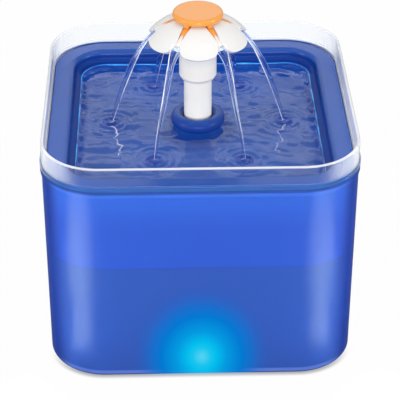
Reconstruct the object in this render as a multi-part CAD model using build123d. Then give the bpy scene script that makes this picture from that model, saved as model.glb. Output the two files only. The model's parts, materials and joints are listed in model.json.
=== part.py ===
from build123d import *
from math import cos, radians, sin, sqrt
import os

# Pet water fountain: a square reservoir with a submerged pump, a filter
# cartridge in a hanging pan, a drinking tray inside a clear splash collar, and
# a flower spout on a riser. Millimetres, +Z up. The origin is the middle of
# the tank's foot, and the front is -Y.

# Tank
TANK_HALF = 85.6  # half width under the lip
TANK_FOOT_HALF = 85.5
TANK_CORNER = 32.0
TANK_WALL = 2.2
TANK_FLOOR_Z = 3.5
TANK_BOTTOM_ROUND = 1.6
TANK_INNER_ROUND = 4.0
TANK_TOP_Z = 121.8
FOOT_RECESS_HALF = 70.0
FOOT_RECESS = 1.0
LIP_HALF = 86.3
LIP_Z = 118.2
REBATE_HALF = 84.5  # widened mouth that takes the collar's skirt
REBATE_Z = 116.0
OUTLET_X = 44.0  # cable outlet in the rear wall
OUTLET_Z = 100.0
OUTLET_R = 4.5
CABLE_R = 1.9

# Splash collar
COLLAR_TOP_Z = 135.9
COLLAR_OUTER = 85.5
COLLAR_INNER = 83.8
COLLAR_FLANGE_HALF = 86.4
COLLAR_FLANGE_TOP_Z = 124.0
SKIRT_OUTER = 84.2
SKIRT_INNER = 83.25
SKIRT_Z = 116.4
LEDGE_INNER = 79.5
LEDGE_TOP_Z = 118.2

# Filter pan and cartridge
INSERT_HALF = 82.9  # flanges of the pan and the tray
PAN_FLANGE_TOP_Z = 120.2
PAN_TOP_HALF = 78.6
PAN_FOOT_HALF = 76.5
PAN_WALL = 1.6
PAN_Z = 86.0
PAN_FLOOR_TOP_Z = 87.8
PAN_SLOT = (2.4, 18.0)  # width and length
PAN_SLOT_PITCH = 8
PAN_SLOT_ROWS = (-54, -30, 0, 30, 54)
CHIMNEY_R = 11.6
CHIMNEY_BORE_R = 10.0
CHIMNEY_TOP_Z = 100.0
CARTRIDGE_HALF = 74.0
CARTRIDGE_WALL = 1.2
CARTRIDGE_TOP_Z = 101.3
CARTRIDGE_HOLE_R = 12.2
GRID_TOP_Z = 88.6
GRID_PITCH = 36.0
GRID_BAR = 1.6
DIVIDER = 1.2  # cross walls between the four compartments
FLEECE_LOW_TOP_Z = 91.4
FLEECE_HIGH_Z = 98.0
FLEECE_HIGH_TOP_Z = 100.4

# Drinking tray
TRAY_TOP_Z = 123.2
TRAY_SKIN = 2.0
BASIN_HALF = 71.5
BASIN_LEDGE_HALF = 68.0
BASIN_FLOOR_HALF = 66.0
BASIN_LEDGE_Z = 116.8
BASIN_FLOOR_Z = 105.0
RIM_ROUND = 3.0
BOSS_FOOT_R = 15.8
BOSS_WAIST = (14.2, 114.9)  # radius and height, at the water line
BOSS_DOME = (15.1, 118.7)  # point of the ring between waist and lip
BOSS_LIP_R = 12.0
BOSS_TOP_Z = 121.5
BOSS_BORE_R = 8.3
BOSS_SKIRT_Z = 101.0  # lower end of the bore's sleeve
BOSS_SLEEVE_R = 10.3
BOSS_HOLLOW = ((18.0, 103.0), (13.9, 103.0), (12.4, 115.4), (12.4, 118.4))  # under the ring
WEIR_Z = 114.2  # sill of the overflow slots
WEIR_H = 2.2
WEIR_W = 12.0
WEIR_XS = (-40, -20, 0, 20, 40)

# Riser and flower
RISER_R = 7.8
RISER_BORE_R = 6.2
RISER_Z = 54.0
RISER_TOP_Z = 158.5
SLEEVE_R = 10.4
SLEEVE_BORE_R = 8.05
SLEEVE_Z = 144.0
SLEEVE_TOP_Z = 178.6
STEP_TOP_Z = 160.0
STEP_BORE_R = 5.2
THROAT_R = 6.5
PETALS = 6
PETAL_NECK = (7.5, 2.2)  # points along one edge, outward and across
PETAL_GAP_EDGE = (13.1, 5.05)
PETAL_SHOULDER = (18.0, 8.85)
PETAL_FLANK = (22.3, 10.5)
PETAL_TIP_CORNER = (26.0, 9.0)
PETAL_TIP_R = 28.5
PETAL_TIP_ROUND = 8.0
PETAL_SPHERE_R = 32.0
PETAL_SPHERE_X = 3.2
PETAL_SPHERE_Z = 149.0
PETAL_SKIN = 2.4
WEB_SPHERE_R = 40.0
WEB_SPHERE_Z = 139.4
WEB_SKIN = 1.4
WEB_R = 23.5
PLUG_R = 2.6
CAP_R = 13.9
CAP_Z = 181.0
CAP_TOP_Z = 184.5
ARM_GAP = 0.3
ARM_SKIN = 1.1
ARM_ROOT = (8.5, 1.45)  # reach and half width
ARM_BROAD = (13.9, 1.8)
ARM_TIP = (20.5, 0.5)
ARM_NECK = (9.0, 13.0, 1.3)  # block that joins an arm to the cap: reach in, out, half width
ARM_NECK_Z = 179.3

# Pump
PUMP_HALF = 21.0
PUMP_Z = 8.5
PUMP_TOP_Z = 43.5
PUMP_ROUND = 6.0
MOTOR_BACK_Y = -34.0
MOTOR_FRONT_Y = -6.4
MOTOR_WALL = 1.8
END_PLATE = 2.0
ROTOR_Z = 24.0
WELL_R = 6.2
WELL_WALL = 1.1
WELL_END_Y = -27.4
CORE_Y = (-23.0, -14.0)
CORE_HALF = 15.5
CORE_Z = 13.0
CORE_WINDOW_Z = 31.8  # window between the poles and the yoke
POLE_GAP = (6.0, 3.0)  # width over and under the rotor
YOKE_Z = 34.8
YOKE_TOP_Z = 38.6
COIL_HALF = 9.0
VOLUTE_R = 13.0
VOLUTE_WALL = 1.6
VOLUTE_FRONT_Y = 6.4
NOZZLE_R = 6.0
NOZZLE_BORE_R = 4.4
NOZZLE_TOP_Z = 66.0
INLET_R = 7.5
SPIDER_R = 5.4  # middle of each arm across the inlet
SPIDER_ARM = (5.6, 1.4)
SHAFT_R = 1.0
SHAFT_PLAY = 0.05
BUSH_R = 2.4
BUSH_Y = (4.4, 6.6)
REAR_BUSH_R = 3.0
REAR_BUSH_LENGTH = 1.8
MAGNET_R = 5.7
MAGNET_Y = (-25.2, -8.0)
BLADES = 6
BLADE_R = 10.2
BLADE_THICK = 1.0
IMPELLER_HUB_R = 3.0
IMPELLER_DISC_R = 6.0
IMPELLER_BACK_Y = -7.9
STRAINER_FRONT_Y = 22.0
STRAINER_WALL = 1.6
NOTCH_Z = 40.0  # foot of the notch that clears the nozzle
SLOT_HALF = 0.8
SIDE_SLOT_YS = (3, 6, 9, 12, 15, 18)
SIDE_SLOT_Z = (16, 36)
FRONT_SLOT_XS = (-15, -12, 12, 15)
FRONT_SLOT_Z = (14, 38)
SPONGE_Y = (8.0, 18.9)
DIAL_R = 9.5
DIAL_PIN_R = 2.0
DIAL_THICK = 2.2
DIAL_GRIP = (1.3, 3.6)  # half width and half length
DIAL_SNAP_Y = (19.2, 20.2)
WINDOW_SWEEP = 52  # degrees that each inlet window spans
WINDOW_R = (4.0, 8.2)
LENS_W = 26.0
LENS_H = 8.0
LENS_Z = 17.0
BOARD_Y = (-32.0, -30.8)
BOARD_HALF = (14.0, 4.5)
LAMP_XS = (-9, -3, 3, 9)
LAMP_HALF = 2.2
GLAND_Y = -29.0
GLAND_Z = 36.0
GLAND_NECK_R = 3.0
GLAND_COLLAR_R = 4.4
GLAND_TAIL = 8.0
CUP_X = 15.0
CUP_YS = (-28.0, -12.0)
CUP_R = 6.5
CUP_STUD_R = 1.9
CUP_STUD_TOP_Z = 10.6
CUP_NECK_R = 3.4
CUP_LIP_Z = 4.1
CUP_BELL_Z = (4.7, 5.4)  # hollow of the cup, at the neck's radius and at its middle
CUP_BELL_TOP_Z = 6.9
CUP_SOCKET = (3.6, 12.3)  # radius and top of each socket in the case


def corner(half):
    """Corner radius of the rounded square that runs parallel to the tank's wall."""
    return TANK_CORNER - (TANK_HALF - half)


def square(half, z):
    """Level rounded square at height z."""
    return Pos(0, 0, z) * RectangleRounded(2 * half, 2 * half, corner(half))


def block(half, z0, z1):
    """Upright rounded square prism."""
    return extrude(square(half, z0), z1 - z0)


def tapered(half0, half1, z0, z1):
    """Rounded square prism whose half width goes from half0 to half1."""
    return loft([square(half0, z0), square(half1, z1)], ruled=True)


def ring(outer, inner, z0, z1):
    """Upright rounded square ring."""
    return block(outer, z0, z1) - block(inner, z0, z1)


def drum(radius, z0, z1, x=0, y=0):
    """Upright cylinder."""
    return Pos(x, y, z0) * extrude(Circle(radius), z1 - z0)


def pipe(radius, bore, z0, z1):
    """Upright tube on the fountain's axis."""
    return drum(radius, z0, z1) - drum(bore, z0, z1)


def box(x0, x1, y0, y1, z0, z1):
    """Box between two opposite corners."""
    middle = Pos((x0 + x1) / 2, (y0 + y1) / 2, (z0 + z1) / 2)
    return middle * Box(x1 - x0, y1 - y0, z1 - z0)


def front_slab(outline, y0, y1):
    """An outline drawn in X and Z, made thick from y0 to y1."""
    plane = Plane((0, y1, 0), x_dir=(1, 0, 0), z_dir=(0, -1, 0))
    return extrude(plane * outline, y1 - y0)


def front_drum(radius, y0, y1, x=0, z=ROTOR_Z):
    """Cylinder whose axis runs front to back."""
    return front_slab(Pos(x, z) * Circle(radius), y0, y1)


def turned(points):
    """Solid of revolution about Z, from points of radius and height."""
    return revolve(Plane.XZ * make_face(Polyline(*points, close=True)), Axis.Z)


def ball(radius, x, z):
    """Sphere with its middle in the XZ plane."""
    return Pos(x, 0, z) * Sphere(radius)


def bottom_edges(shape):
    return shape.faces().sort_by(Axis.Z)[0].edges()


def top_edges(shape):
    return shape.faces().sort_by(Axis.Z)[-1].edges()


# ---------------------------------------------------------------- tank


def make_water_tank():
    outer = tapered(TANK_FOOT_HALF, TANK_HALF, 0, LIP_Z)
    outer = fillet(bottom_edges(outer), TANK_BOTTOM_ROUND)
    lip = block(LIP_HALF, LIP_Z, TANK_TOP_Z)
    lip = fillet(lip.edges().filter_by(GeomType.LINE).filter_by(Axis.Z, reverse=True)
                 + lip.edges().filter_by(GeomType.CIRCLE), 0.5)
    hollow = tapered(TANK_FOOT_HALF - TANK_WALL, TANK_HALF - TANK_WALL,
                     TANK_FLOOR_Z, TANK_TOP_Z)
    hollow = fillet(bottom_edges(hollow), TANK_INNER_ROUND)
    tank = outer + lip - hollow - block(REBATE_HALF, REBATE_Z, TANK_TOP_Z)
    tank -= block(FOOT_RECESS_HALF, 0, FOOT_RECESS)
    outlet = front_drum(OUTLET_R, TANK_HALF - 6, TANK_HALF + 1, OUTLET_X, OUTLET_Z)
    return tank - outlet


def make_cable_grommet():
    """Silicone bush that grips the rear wall between two flanges."""
    wall_out = TANK_HALF - 0.02
    wall_in = TANK_HALF - TANK_WALL - 0.15
    grommet = front_drum(OUTLET_R - 0.05, wall_in - 1, wall_out + 1, OUTLET_X, OUTLET_Z)
    grommet += front_drum(OUTLET_R + 2, wall_out, wall_out + 1.25, OUTLET_X, OUTLET_Z)
    grommet += front_drum(OUTLET_R + 2, wall_in - 1.3, wall_in, OUTLET_X, OUTLET_Z)
    bore = front_drum(CABLE_R, wall_in - 2, wall_out + 2, OUTLET_X, OUTLET_Z)
    return grommet - bore


# ---------------------------------------------------------------- collar


def make_splash_collar():
    wall = ring(COLLAR_OUTER, COLLAR_INNER, TANK_TOP_Z, COLLAR_TOP_Z)
    wall = fillet(top_edges(wall), 0.8)
    flange = ring(COLLAR_FLANGE_HALF, SKIRT_INNER, TANK_TOP_Z, COLLAR_FLANGE_TOP_Z)
    skirt = ring(SKIRT_OUTER, SKIRT_INNER, SKIRT_Z, TANK_TOP_Z)
    ledge = ring(SKIRT_OUTER, LEDGE_INNER, SKIRT_Z, LEDGE_TOP_Z)
    return wall + flange + skirt + ledge


# ---------------------------------------------------------------- filter


def make_filter_pan():
    """Hanging pan with a slotted floor and a chimney for the riser."""
    pan = tapered(PAN_FOOT_HALF, PAN_TOP_HALF, PAN_Z, PAN_FLANGE_TOP_Z)
    pan = fillet(bottom_edges(pan), 3)
    pan += block(INSERT_HALF, LEDGE_TOP_Z, PAN_FLANGE_TOP_Z)
    pan -= tapered(PAN_FOOT_HALF - PAN_WALL, PAN_TOP_HALF - PAN_WALL,
                   PAN_FLOOR_TOP_Z, PAN_FLANGE_TOP_Z)
    pan += drum(CHIMNEY_R, PAN_Z, CHIMNEY_TOP_Z)
    half_w, half_l = PAN_SLOT[0] / 2, PAN_SLOT[1] / 2
    pan -= [box(x - half_w, x + half_w, y - half_l, y + half_l, PAN_Z, PAN_FLOOR_TOP_Z)
            for x in range(-60, 61, PAN_SLOT_PITCH)
            for y in PAN_SLOT_ROWS
            if y != 0 or abs(x) > CHIMNEY_R + 4]
    return pan - drum(CHIMNEY_BORE_R, PAN_Z, CHIMNEY_TOP_Z)


def cartridge_layer(z0, z1):
    """Square layer that fills the cartridge frame between two heights."""
    half = CARTRIDGE_HALF - CARTRIDGE_WALL - 0.1
    return block(half, z0, z1) - drum(CARTRIDGE_HOLE_R + CARTRIDGE_WALL + 0.1, z0, z1)


def cartridge_ribs(z0, z1, spacing, thick):
    """Bars that cross the cartridge both ways."""
    reach = CARTRIDGE_HALF - CARTRIDGE_WALL / 2
    bars = []
    for k in range(-int(reach // spacing), int(reach // spacing) + 1):
        at = k * spacing
        bars.append(box(at - thick / 2, at + thick / 2, -reach, reach, z0, z1))
        bars.append(box(-reach, reach, at - thick / 2, at + thick / 2, z0, z1))
    inside = block(CARTRIDGE_HALF - CARTRIDGE_WALL / 2, z0, z1)
    return (bars[0] + bars[1:]) & inside


def make_cartridge_frame():
    frame = ring(CARTRIDGE_HALF, CARTRIDGE_HALF - CARTRIDGE_WALL, PAN_FLOOR_TOP_Z,
                 CARTRIDGE_TOP_Z)
    frame += ring(CARTRIDGE_HALF, CARTRIDGE_HALF - 4, FLEECE_HIGH_TOP_Z, CARTRIDGE_TOP_Z)
    frame += cartridge_ribs(PAN_FLOOR_TOP_Z, GRID_TOP_Z, GRID_PITCH, GRID_BAR)
    frame += cartridge_ribs(FLEECE_LOW_TOP_Z, FLEECE_HIGH_Z, CARTRIDGE_HALF, DIVIDER)
    frame += drum(CARTRIDGE_HOLE_R + CARTRIDGE_WALL, PAN_FLOOR_TOP_Z, CARTRIDGE_TOP_Z)
    return frame - drum(CARTRIDGE_HOLE_R, PAN_FLOOR_TOP_Z, CARTRIDGE_TOP_Z)


def make_cartridge_granules():
    """Four compartments of granules, between the two fleeces."""
    low = FLEECE_LOW_TOP_Z + 0.1
    high = FLEECE_HIGH_Z - 0.1
    reach = CARTRIDGE_HALF
    half = DIVIDER / 2 + 0.1
    cross = box(-half, half, -reach, reach, low, high)
    cross += box(-reach, reach, -half, half, low, high)
    return cartridge_layer(low, high) - cross


# ---------------------------------------------------------------- tray


def make_tray_shell():
    """Rim, stepped basin and turned-down edge."""
    rim = block(INSERT_HALF, PAN_FLANGE_TOP_Z, TRAY_TOP_Z)
    rim = fillet(top_edges(rim), 0.8)
    rim -= block(INSERT_HALF - 1.6, PAN_FLANGE_TOP_Z, TRAY_TOP_Z - TRAY_SKIN)
    rim += block(BASIN_HALF + TRAY_SKIN, BASIN_LEDGE_Z - TRAY_SKIN, TRAY_TOP_Z - TRAY_SKIN)
    rim += tapered(BASIN_FLOOR_HALF + TRAY_SKIN, BASIN_LEDGE_HALF + TRAY_SKIN,
                   BASIN_FLOOR_Z - TRAY_SKIN, BASIN_LEDGE_Z)
    upper = block(BASIN_HALF, BASIN_LEDGE_Z, TRAY_TOP_Z)
    upper = fillet(bottom_edges(upper), 2.5)
    lower = tapered(BASIN_FLOOR_HALF, BASIN_LEDGE_HALF, BASIN_FLOOR_Z, BASIN_LEDGE_Z)
    lower = fillet(bottom_edges(lower), 4)
    shell = rim - upper - lower
    mouth = shell.faces().sort_by(Axis.Z)[-1].inner_wires()[0]
    return fillet(mouth.edges(), RIM_ROUND)


def boss_outline():
    """Half section of the central boss, from its foot over the lip to the bore."""
    side = Line((BOSS_FOOT_R, BASIN_FLOOR_Z - TRAY_SKIN), BOSS_WAIST)
    dome = ThreePointArc(BOSS_WAIST, BOSS_DOME, (BOSS_LIP_R, BOSS_TOP_Z))
    inside = Polyline((BOSS_LIP_R, BOSS_TOP_Z), (BOSS_LIP_R - 1.6, BOSS_TOP_Z),
                      (BOSS_BORE_R, BOSS_TOP_Z - 1.6),
                      (BOSS_BORE_R, BOSS_SKIRT_Z), (BOSS_FOOT_R, BOSS_SKIRT_Z),
                      (BOSS_FOOT_R, BASIN_FLOOR_Z - TRAY_SKIN))
    return make_face([side, dome, inside])


def make_drinking_tray():
    tray = make_tray_shell()
    boss = revolve(Plane.XZ * boss_outline(), Axis.Z)
    bore = drum(BOSS_BORE_R, BOSS_SKIRT_Z - 1, BOSS_TOP_Z)
    tray = tray - bore + (boss - bore)
    # Hollow under the ring, between the bore's sleeve and the boss's skin
    wide, high = BOSS_HOLLOW[0][0], BOSS_HOLLOW[-1][1]
    tray -= turned([(BOSS_SLEEVE_R, BOSS_SKIRT_Z), (wide, BOSS_SKIRT_Z), *BOSS_HOLLOW,
                    (BOSS_SLEEVE_R, high)])
    weirs = [box(x - WEIR_W / 2, x + WEIR_W / 2, -BASIN_HALF - TRAY_SKIN, -BASIN_FLOOR_HALF,
                 WEIR_Z, WEIR_Z + WEIR_H)
             for x in WEIR_XS]
    return tray - weirs


# ---------------------------------------------------------------- riser and flower


def make_riser_tube():
    riser = pipe(RISER_R, RISER_BORE_R, RISER_Z, RISER_TOP_Z)
    riser = chamfer(top_edges(riser), 0.5)
    return chamfer(bottom_edges(riser), 0.5)


def fanned(x, y):
    """Where the line from the petal sphere's middle through its skin over (x, y)
    meets the level of its pole, with the middle as the origin."""
    dx = x - PETAL_SPHERE_X
    rise = sqrt(PETAL_SPHERE_R ** 2 - dx ** 2 - y ** 2)
    return (dx * PETAL_SPHERE_R / rise, y * PETAL_SPHERE_R / rise)


def petal_outline():
    """One petal from above, fanned out, from its neck under the cap to its broad tip."""
    neck = fanned(*PETAL_NECK)
    gap_edge = fanned(*PETAL_GAP_EDGE)
    shoulder = fanned(*PETAL_SHOULDER)
    flank = fanned(*PETAL_FLANK)
    tip_corner = fanned(*PETAL_TIP_CORNER)

    def mirrored(point):
        return (point[0], -point[1])

    lines = [Polyline(neck, gap_edge, shoulder),
             ThreePointArc(shoulder, flank, tip_corner),
             ThreePointArc(tip_corner, fanned(PETAL_TIP_R, 0), mirrored(tip_corner)),
             ThreePointArc(mirrored(tip_corner), mirrored(flank), mirrored(shoulder)),
             Polyline(mirrored(shoulder), mirrored(gap_edge), mirrored(neck)),
             Line(mirrored(neck), neck)]
    face = make_face(lines)
    corners = face.vertices().sort_by(lambda v: abs(abs(v.Y) - tip_corner[1])
                                      + abs(v.X - tip_corner[0]))[0:2]
    return fillet(corners, PETAL_TIP_ROUND)


def make_petal():
    """Curved shell whose edges stand square to its skin."""
    shell = Sphere(PETAL_SPHERE_R) - Sphere(PETAL_SPHERE_R - PETAL_SKIN)
    outline = petal_outline()
    low = 0.3
    fan = loft([Pos(0, 0, PETAL_SPHERE_R) * outline,
                Pos(0, 0, low * PETAL_SPHERE_R) * scale(outline, by=low)], ruled=True)
    return Pos(PETAL_SPHERE_X, 0, PETAL_SPHERE_Z) * (shell & fan)


def flower_turn(k, half_step=False):
    """Turn of petal k, or of the gap after it. Petal 0 faces the front."""
    step = 360 / PETALS
    return Rot(0, 0, -90 + step * (k + (0.5 if half_step else 0)))


def make_flower_body():
    web = ball(WEB_SPHERE_R, 0, WEB_SPHERE_Z) - ball(WEB_SPHERE_R - WEB_SKIN, 0, WEB_SPHERE_Z)
    web &= drum(WEB_R, 160, 185)
    petal = make_petal()
    sleeve = drum(SLEEVE_R, SLEEVE_Z, SLEEVE_TOP_Z)
    sleeve = chamfer(bottom_edges(sleeve), length=2.0, length2=1.2)
    sleeve &= ball(WEB_SPHERE_R - WEB_SKIN / 2, 0, WEB_SPHERE_Z) + drum(20, 140, 170)
    flower = web + sleeve + [flower_turn(k) * petal for k in range(PETALS)]
    flower -= drum(SLEEVE_BORE_R, SLEEVE_Z, RISER_TOP_Z)
    flower -= drum(STEP_BORE_R, RISER_TOP_Z, STEP_TOP_Z)
    return flower - drum(THROAT_R, STEP_TOP_Z, 185)


def make_arm():
    """Wedge that lies in one gap between the petals."""
    shell = ball(WEB_SPHERE_R + ARM_GAP + ARM_SKIN, 0, WEB_SPHERE_Z)
    shell -= ball(WEB_SPHERE_R + ARM_GAP, 0, WEB_SPHERE_Z)
    edge = [ARM_ROOT, ARM_BROAD, ARM_TIP]
    outline = Polyline(*edge, *[(x, -y) for x, y in reversed(edge)], close=True)
    arm = shell & extrude(Pos(0, 0, SLEEVE_Z) * make_face(outline), CAP_TOP_Z - SLEEVE_Z)
    inner, outer, half = ARM_NECK
    return arm + box(inner, outer, -half, half, ARM_NECK_Z, CAP_Z + 0.5)


def make_flower_core():
    """Cap with six arms, on a finned plug that sits in the flower's throat."""
    cap = drum(CAP_R, CAP_Z, CAP_TOP_Z)
    cap = fillet(top_edges(cap), 1.8)
    cap = fillet(bottom_edges(cap), 1.2)
    plug = drum(PLUG_R, STEP_TOP_Z, CAP_Z + 1)
    reach = THROAT_R - 0.3
    fins = [Rot(0, 0, 120 * k) * box(0, reach, -0.7, 0.7, STEP_TOP_Z, CAP_Z + 1)
            for k in range(3)]
    arms = [flower_turn(k, half_step=True) * make_arm() for k in range(PETALS)]
    return cap + plug + fins + arms


# ---------------------------------------------------------------- pump motor


def pump_outline(inset=0.0):
    """Front view of the pump's case."""
    height = PUMP_TOP_Z - PUMP_Z
    middle = (PUMP_TOP_Z + PUMP_Z) / 2
    shape = RectangleRounded(2 * (PUMP_HALF - inset), height - 2 * inset, PUMP_ROUND - inset)
    return Pos(0, middle) * shape


def cup_places():
    return [(x, y) for y in CUP_YS for x in (-CUP_X, CUP_X)]


def make_motor_housing():
    """Potted case, open at the back, with the rotor well let in from the front."""
    housing = front_slab(pump_outline(), MOTOR_BACK_Y, MOTOR_FRONT_Y)
    housing -= front_slab(pump_outline(MOTOR_WALL), MOTOR_BACK_Y, MOTOR_FRONT_Y - MOTOR_WALL)
    housing += front_drum(WELL_R + WELL_WALL, WELL_END_Y - WELL_WALL, MOTOR_FRONT_Y)
    housing -= front_drum(WELL_R, WELL_END_Y, MOTOR_FRONT_Y)
    socket_r, socket_top = CUP_SOCKET
    housing += [drum(socket_r, PUMP_Z + 1, socket_top, x, y) for x, y in cup_places()]
    housing -= [drum(CUP_STUD_R + 0.05, PUMP_Z, CUP_STUD_TOP_Z + 0.3, x, y)
                for x, y in cup_places()]
    gland_hole = Pos(PUMP_HALF - 4, GLAND_Y, GLAND_Z) * Rot(0, 90, 0) * Cylinder(
        GLAND_NECK_R + 0.05, 10, align=(Align.CENTER, Align.CENTER, Align.MIN))
    return housing - gland_hole


def lens_outline(inset=0.0):
    return Pos(0, LENS_Z) * SlotOverall(LENS_W - 2 * inset, LENS_H - 2 * inset)


def make_motor_end_plate():
    plate = front_slab(pump_outline(), MOTOR_BACK_Y - END_PLATE, MOTOR_BACK_Y)
    rim = plate.faces().sort_by(Axis.Y)[0].edges()
    plate = fillet(rim, 1.2)
    return plate - front_slab(lens_outline(), MOTOR_BACK_Y - END_PLATE, MOTOR_BACK_Y)


def make_led_lens():
    lens = front_slab(lens_outline(0.05), MOTOR_BACK_Y - END_PLATE - 0.5, MOTOR_BACK_Y)
    return fillet(lens.faces().sort_by(Axis.Y)[0].edges(), 0.8)


def make_led_board():
    """Narrow circuit board with four light-emitting blocks behind the lens."""
    half_w, half_h = BOARD_HALF
    board = box(-half_w, half_w, *BOARD_Y, LENS_Z - half_h, LENS_Z + half_h)
    lamps = [box(x - LAMP_HALF, x + LAMP_HALF, BOARD_Y[0] - 1.6, BOARD_Y[0],
                 LENS_Z - LAMP_HALF, LENS_Z + LAMP_HALF)
             for x in LAMP_XS]
    return board + lamps


def make_stator_core():
    """U of laminations: a yoke on top and two poles round the rotor well."""
    pole_bore = WELL_R + WELL_WALL + 0.3
    core = box(-CORE_HALF, CORE_HALF, *CORE_Y, CORE_Z, YOKE_TOP_Z)
    core -= box(-COIL_HALF - 0.6, COIL_HALF + 0.6, *CORE_Y, CORE_WINDOW_Z, YOKE_Z)
    core -= front_drum(pole_bore, *CORE_Y)
    upper, lower = (gap / 2 for gap in POLE_GAP)
    core -= box(-upper, upper, *CORE_Y, ROTOR_Z, YOKE_Z)
    return core - box(-lower, lower, *CORE_Y, CORE_Z, ROTOR_Z)


def yoke_ring(outside, inside, half):
    """Rectangular tube round the yoke, grown outside and inside by the given gaps."""
    def grown(gap):
        return box(-half, half, CORE_Y[0] - gap, CORE_Y[1] + gap, YOKE_Z - gap,
                   YOKE_TOP_Z + gap)
    return grown(outside) - box(-half, half, CORE_Y[0] - inside, CORE_Y[1] + inside,
                                YOKE_Z - inside, YOKE_TOP_Z + inside)


def make_coil_bobbin():
    bobbin = yoke_ring(0.6, 0.1, COIL_HALF)
    for side in (-1, 1):
        bobbin += Pos(side * (COIL_HALF - 0.4), 0, 0) * yoke_ring(2.7, 0.1, 0.4)
    return bobbin


def make_motor_coil():
    coil = yoke_ring(2.4, 0.65, COIL_HALF - 0.9)
    return fillet(coil.edges().filter_by(Axis.X).group_by(Axis.Z)[-1], 1.2)


def make_pump_cable_gland():
    """Rubber sleeve with a tapered tail, through the side of the case."""
    inner = PUMP_HALF - MOTOR_WALL
    profile = [(CABLE_R, inner), (GLAND_NECK_R, inner), (GLAND_NECK_R, PUMP_HALF),
               (GLAND_COLLAR_R, PUMP_HALF), (GLAND_COLLAR_R, PUMP_HALF + 1.4),
               (GLAND_COLLAR_R - 0.8, PUMP_HALF + 1.6),
               (CABLE_R + 0.9, PUMP_HALF + GLAND_TAIL), (CABLE_R, PUMP_HALF + GLAND_TAIL)]
    sleeve = revolve(Plane.XZ * make_face(Polyline(*profile, close=True)), Axis.Z)
    return Pos(0, GLAND_Y, GLAND_Z) * Rot(0, 90, 0) * sleeve


def make_suction_cup():
    """Soft cup with a stud that plugs into the case."""
    low, high = CUP_BELL_Z
    return turned([(0, high), (CUP_NECK_R, low), (CUP_R - 0.7, TANK_FLOOR_Z),
                   (CUP_R, TANK_FLOOR_Z), (CUP_R, CUP_LIP_Z), (CUP_NECK_R, CUP_BELL_TOP_Z),
                   (CUP_NECK_R, PUMP_Z), (CUP_STUD_R, PUMP_Z), (CUP_STUD_R, CUP_STUD_TOP_Z),
                   (0, CUP_STUD_TOP_Z)])


# ---------------------------------------------------------------- pump water end


def make_pump_volute():
    """Impeller chamber with its inlet spider and the upright outlet nozzle."""
    volute = front_drum(VOLUTE_R, MOTOR_FRONT_Y, VOLUTE_FRONT_Y)
    volute = fillet(volute.faces().sort_by(Axis.Y)[-1].edges(), 1.0)
    volute += drum(NOZZLE_R, ROTOR_Z, NOZZLE_TOP_Z)
    volute = chamfer(top_edges(volute), 0.6)
    front_wall = VOLUTE_FRONT_Y - VOLUTE_WALL
    volute -= front_drum(VOLUTE_R - VOLUTE_WALL, MOTOR_FRONT_Y, front_wall)
    volute -= drum(NOZZLE_BORE_R, ROTOR_Z, NOZZLE_TOP_Z)
    volute -= front_drum(INLET_R, front_wall, VOLUTE_FRONT_Y)
    hub = front_drum(BUSH_R + 1.4, front_wall, VOLUTE_FRONT_Y)
    arms = []
    for k in range(3):
        angle = radians(90 + 120 * k)
        place = Pos(SPIDER_R * cos(angle), ROTOR_Z + SPIDER_R * sin(angle))
        arm = place * Rot(0, 0, 90 + 120 * k) * Rectangle(*SPIDER_ARM)
        arms.append(front_slab(arm, front_wall, VOLUTE_FRONT_Y))
    return volute + hub + arms - front_drum(BUSH_R + 0.02, front_wall, VOLUTE_FRONT_Y)


def make_rotor_shaft():
    return front_drum(SHAFT_R, WELL_END_Y + 0.3, VOLUTE_FRONT_Y - 0.2)


def make_bush(y0, y1, radius):
    return front_drum(radius, y0, y1) - front_drum(SHAFT_R + 0.02, y0, y1)


def make_rotor_magnet():
    magnet = front_drum(MAGNET_R, *MAGNET_Y)
    magnet = fillet(magnet.edges().filter_by(GeomType.CIRCLE), 0.4)
    return magnet - front_drum(SHAFT_R + SHAFT_PLAY, *MAGNET_Y)


def make_impeller():
    """Hub with six straight blades, for either direction of turning."""
    back = MOTOR_FRONT_Y + 0.8
    front = VOLUTE_FRONT_Y - VOLUTE_WALL - 1.4
    rotor = front_drum(IMPELLER_HUB_R, IMPELLER_BACK_Y, front)
    for k in range(BLADES):
        turn = Pos(0, ROTOR_Z) * Rot(0, 0, 360 / BLADES * k)
        blade = turn * Pos(BLADE_R / 2 + 1, 0) * Rectangle(BLADE_R - 2, BLADE_THICK)
        rotor += front_slab(blade, back, front)
    rotor += front_drum(IMPELLER_DISC_R, back, back + 0.8)
    return rotor - front_drum(SHAFT_R + SHAFT_PLAY, IMPELLER_BACK_Y, front)


def inlet_windows(y0, y1):
    """Three sector windows round the dial's pin."""
    windows = []
    for k in range(3):
        start = 90 + 120 * k - WINDOW_SWEEP / 2
        inner, outer = (CenterArc((0, ROTOR_Z), r, start, WINDOW_SWEEP) for r in WINDOW_R)
        sides = [Line(inner @ 0, outer @ 0), Line(inner @ 1, outer @ 1)]
        windows.append(front_slab(make_face([inner, outer, *sides]), y0, y1))
    return windows


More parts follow.
